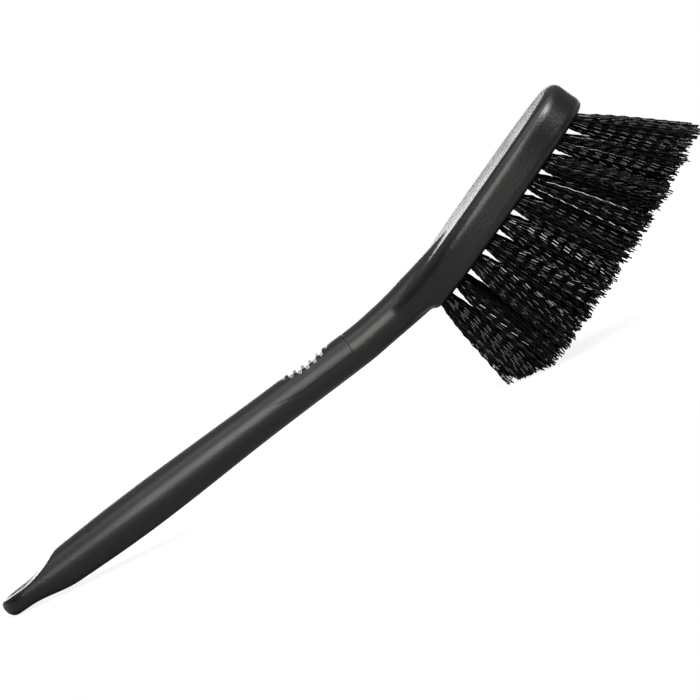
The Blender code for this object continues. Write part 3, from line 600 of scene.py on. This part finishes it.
def tuft_mesh(column, y, frame_here, chance):
    """One tuft and its anchor: filaments spread round its middle, drawn out from bend to bend."""
    toe_share = column / (len(ROWS_IN_COLUMN) - 1)
    lean_angle = LEAN_AT_HEEL + (LEAN_AT_TOE - LEAN_AT_HEEL) * toe_share
    lean = Vector((math.tan(lean_angle), math.tan(LEAN_AT_SIDE) * -y / (2 * ROW_PITCH), 1)).normalized()
    across = Vector((1, 0, 0)) - lean * lean.x
    across.normalize()
    sideways = lean.cross(across)
    end = 1 if toe_share > 0.5 else -1
    crimp_turn = chance.uniform(LEAST_TURN, MOST_TURN) * chance.choice((-1, 1))
    shift = chance.random()
    bm = bmesh.new()
    strand_of = bm.faces.layers.int.new("strand")
    tone = bm.faces.layers.float.new("filament_tone")
    paths, growing = [], []
    first_length = STRAIGHT_TO - ROOT_AT
    for number in range(FILAMENTS):
        turn = number * GOLDEN_TURN
        out = BUNDLE_RADIUS * math.sqrt((number + 0.5) / FILAMENTS)
        foot = Vector((math.cos(turn), math.sin(turn), 0)) * out
        length = chance.uniform(SHORTEST, LONGEST)
        own_turn = crimp_turn + chance.gauss(0, TURN_SCATTER)
        crimp = (across * math.cos(own_turn) + sideways * math.sin(own_turn)) * CRIMP_DEPTH
        spread = Vector((foot.x * FAN_ALONG, foot.y * FAN_ACROSS, 0))
        bow = across * chance.uniform(-BOW_ALONG, BOW_ALONG)
        bow += sideways * chance.uniform(-BOW_ACROSS, BOW_ACROSS)
        if toe_share == 0:
            bow += across * HEEL_SET
        if toe_share in (0, 1) and foot.x * end > OUTERMOST * BUNDLE_RADIUS:
            bow += across * chance.uniform(0.0, STRAY_REACH) * end
        wave = CRIMP_WAVE * chance.uniform(SHORTEST_WAVE, LONGEST_WAVE)
        own_shift = shift + chance.gauss(0, SHIFT_SCATTER)
        kept = share_off_floor(frame_here, foot + spread, lean * length, bow)
        if kept < 1:
            length = length * kept - chance.uniform(0, TRIM_SPREAD)
        paths.append(filament_points(foot, spread, lean, bow, length, wave, crimp, own_shift))
        made = bmesh.ops.create_cone(
            bm, cap_ends=True, segments=6, radius1=FILAMENT_RADIUS, radius2=FILAMENT_RADIUS,
            depth=first_length,
            matrix=Matrix.Translation(foot * ROOT_SQUEEZE + Vector((0, 0, ROOT_AT + first_length / 2)))
            @ Matrix.Rotation(chance.uniform(0, math.pi / 3), 4, "Z"),
        )["verts"]
        grey = chance.random()
        for face in {face for vert in made for face in vert.link_faces}:
            face[strand_of] = number
            face[tone] = grey
            if face.calc_center_median().z > ROOT_AT + first_length * 0.9:
                growing.append(face)
    corners = {}
    for face in growing:
        centre = face.calc_center_median()
        corners[face[strand_of]] = [vert.co - centre for vert in face.verts]
    for bend in range(max(len(path) for path in paths)):
        growing = [face for face in growing if bend < len(paths[face[strand_of]])]
        growing = bmesh.ops.extrude_discrete_faces(bm, faces=growing)["faces"]
        for face in growing:
            centre = paths[face[strand_of]][bend]
            for vert, corner in zip(face.verts, corners[face[strand_of]]):
                vert.co = centre + corner
    seat = Matrix.Translation((0, 0, ANCHOR_SIZE[2] / 2 - HOLE_DEPTH + ANCHOR_GAP))
    anchor = bmesh.ops.create_cube(bm, size=1, matrix=seat @ Matrix.Diagonal((*ANCHOR_SIZE, 1)))["verts"]
    for face in {face for vert in anchor for face in vert.link_faces}:
        face.material_index = 1
    bmesh.ops.transform(bm, matrix=frame_here, verts=bm.verts)
    return bm


# Nylon drawn to a shiny filament, each with its own tone of black and faint lines from the die
nylon, tree, shader, where = new_finish("black_nylon")
tone = node(tree, "ShaderNodeAttribute", attribute_name="filament_tone").outputs["Fac"]
draw_lines = node(tree, "ShaderNodeTexNoise", (("Vector", where),), Scale=900.0, Detail=2.0).outputs["Fac"]
mixed = node(tree, "ShaderNodeMath", ((0, tone), (1, draw_lines)), operation="MULTIPLY")
tones = ramp(tree, mixed.outputs[0], (0.0, (0.0006, 0.0005, 0.0005)), (0.6, (0.0032, 0.0023, 0.0025)))
tree.links.new(tones, shader.inputs["Base Color"])
gloss = node(
    tree, "ShaderNodeMapRange", (("Value", draw_lines),),
    From_Min=0.3, From_Max=0.7, To_Min=0.12, To_Max=0.19,
)
tree.links.new(gloss.outputs["Result"], shader.inputs["Roughness"])
bump = node(tree, "ShaderNodeBump", (("Height", draw_lines),), Strength=0.3, Distance=0.00003)
tree.links.new(bump.outputs["Normal"], shader.inputs["Normal"])
shader.inputs["Specular IOR Level"].default_value = 0.32

# The anchors' steel, sheared from rolled strip
steel, tree, shader, where = new_finish("anchor_steel")
shader.inputs["Metallic"].default_value = 1.0
rolled = node(tree, "ShaderNodeTexNoise", (("Vector", where),), Scale=1500.0, Detail=3.0).outputs["Fac"]
tones = ramp(tree, rolled, (0.0, (0.32, 0.31, 0.29)), (1.0, (0.56, 0.55, 0.53)))
tree.links.new(tones, shader.inputs["Base Color"])
gloss = node(tree, "ShaderNodeMapRange", (("Value", rolled),), To_Min=0.28, To_Max=0.45)
tree.links.new(gloss.outputs["Result"], shader.inputs["Roughness"])

for column, row, x, y in TUFT_PLACES:
    chance = random.Random(100 * column + row + 7)
    tuft_frame = LYING @ FACE @ Matrix.Translation((x, -y, 0))
    tuft = stand(f"bristles_c{column + 1:02d}_r{row + 1}", tuft_mesh(column, y, tuft_frame, chance))
    tuft.data.materials.append(nylon)
    tuft.data.materials.append(steel)
    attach(tuft, "root")
    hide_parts(f"tuft_c{column + 1:02d}_r{row + 1}")

# Studio: a white paper floor in a white room, its near half dim in reflections. A tall softbox in
# front with a dim card at its foot lights the side, a narrow one beyond the toe glints off the
# bristles, a broad weak one hangs overhead, and a low strip stands behind.
FLOOR_RADIUS, FLOOR_BEHIND = 0.45, 0.15
bm = bmesh.new()
bmesh.ops.create_circle(
    bm, cap_ends=True, segments=96, radius=FLOOR_RADIUS, matrix=Matrix.Translation((0, FLOOR_BEHIND, 0))
)
floor = stand("studio_floor", bm)
paper = bpy.data.materials.new("white_paper")
paper.use_nodes = True
tree = paper.node_tree
shader = tree.nodes["Principled BSDF"]
shader.inputs["Base Color"].default_value = (0.26, 0.26, 0.26, 1)
shader.inputs["Roughness"].default_value = 0.9
shader.inputs["Specular IOR Level"].default_value = 0.1
# To the eye the paper is lifted to white, and it keeps the brush's shadow
seen = node(tree, "ShaderNodeLightPath")
lifted = node(
    tree, "ShaderNodeEmission", (("Strength", seen.outputs["Is Camera Ray"]),), Color=(0.86, 0.86, 0.86, 1)
)
both = node(tree, "ShaderNodeAddShader", ((0, shader.outputs["BSDF"]), (1, lifted.outputs["Emission"])))
tree.links.new(both.outputs["Shader"], tree.nodes["Material Output"].inputs["Surface"])
floor.data.materials.append(paper)

# The room: white to the eye. In reflections its far side is white in a band above the horizon and
# grey over and under it, and its near side is nearly black, as behind a photographer.
world = bpy.data.worlds.new("white_room")
bpy.context.scene.world = world
world.use_nodes = True
tree = world.node_tree
background = tree.nodes["Background"]
background.inputs["Color"].default_value = (1, 1, 1, 1)
seen = node(tree, "ShaderNodeLightPath").outputs
direction = node(tree, "ShaderNodeTexCoord").outputs["Generated"]
direction = node(tree, "ShaderNodeSeparateXYZ", ((0, direction),)).outputs


def soft_change(source, start, end, before=0.0, after=1.0):
    """A value that eases from before to after while the source goes from start to end."""
    made = node(
        world.node_tree, "ShaderNodeMapRange", (("Value", source),), interpolation_type="SMOOTHSTEP",
        From_Min=start, From_Max=end, To_Min=before, To_Max=after,
    )
    return made.outputs["Result"]


BAND_LEVEL, WALL_LEVEL, NEAR_LEVEL, BOUNCE_LEVEL = 1.05, 0.22, 0.04, 0.32
walls = soft_change(direction["Z"], 0.05, 0.13, BAND_LEVEL, WALL_LEVEL)
skirting = soft_change(direction["Z"], -0.05, 0.0, WALL_LEVEL, BAND_LEVEL)
far_side = node(tree, "ShaderNodeMath", ((0, walls), (1, skirting)), operation="MINIMUM").outputs[0]
farness = soft_change(direction["Y"], -0.50, 0.20)
room = node(tree, "ShaderNodeMix", (("Factor", farness), ("B", far_side)), A=NEAR_LEVEL).outputs["Result"]
mirrored = node(
    tree, "ShaderNodeMath",
    ((0, seen["Is Glossy Ray"]), (1, seen["Is Transmission Ray"])), operation="ADD", use_clamp=True,
).outputs[0]
lit = node(tree, "ShaderNodeMix", (("Factor", mirrored), ("B", room)), A=BOUNCE_LEVEL).outputs["Result"]
to_eye = node(tree, "ShaderNodeMix", (("Factor", seen["Is Camera Ray"]), ("A", lit)), B=1.0)
tree.links.new(to_eye.outputs["Result"], background.inputs["Strength"])


def softbox(name, place, aim, width, height, watts, colour=(1, 1, 1)):
    """A rectangular lamp at a place, turned to its aim, which the camera doesn't see."""
    light = bpy.data.lights.new(name, "AREA")
    light.shape = "RECTANGLE"
    light.size = width
    light.size_y = height
    light.energy = watts
    light.color = colour
    lamp = bpy.data.objects.new(name, light)
    lamp.location = place
    lamp.rotation_euler = (Vector(aim) - Vector(place)).to_track_quat("-Z", "Y").to_euler()
    lamp.visible_camera = False
    bpy.context.scene.collection.objects.link(lamp)


softbox("front_softbox", (-0.15, -1.01, 0.69), (-0.05, 0, 0.05), 0.6, 1.02, 9.6, (1.0, 0.985, 0.94))
softbox("front_card", (-0.05, -1.15, 0.12), (0, 0, 0.05), 0.8, 0.30, 0.75)
softbox("side_softbox", (0.692, -0.592, 1.084), (0.1, 0, 0.05), 0.24, 1.10, 21.0)
softbox("overhead_softbox", (0.0, -0.1, 1.5), (0, 0, 0.0), 1.5, 1.5, 9.0)
softbox("rear_strip", (-0.05, 1.30, 0.10), (0, 0, 0.05), 1.2, 0.22, 3.6)

# Camera: a long lens 5 degrees above the brush's side, rolled until the handle climbs to the right
ELEVATION, ROLL = math.radians(5.2), math.radians(25.2875)
PICTURE_MIDDLE, PICTURE_WIDTH = Vector((0.0039, 0, 0.0381)), 0.2723
level_up = Vector((0, math.sin(ELEVATION), math.cos(ELEVATION)))
right = Vector((1, 0, 0)) * math.cos(ROLL) - level_up * math.sin(ROLL)
up = Vector((1, 0, 0)) * math.sin(ROLL) + level_up * math.cos(ROLL)
back = right.cross(up)
lens = bpy.data.cameras.new("long_lens")
lens.lens = 250
camera = bpy.data.objects.new("camera", lens)
away = back * (PICTURE_WIDTH / lens.sensor_width * lens.lens)
turned = Matrix((right, up, back)).transposed().to_4x4()
camera.matrix_world = Matrix.Translation(PICTURE_MIDDLE + away) @ turned
bpy.context.scene.collection.objects.link(camera)
bpy.context.scene.camera = camera
bpy.context.scene.view_settings.view_transform = "Standard"
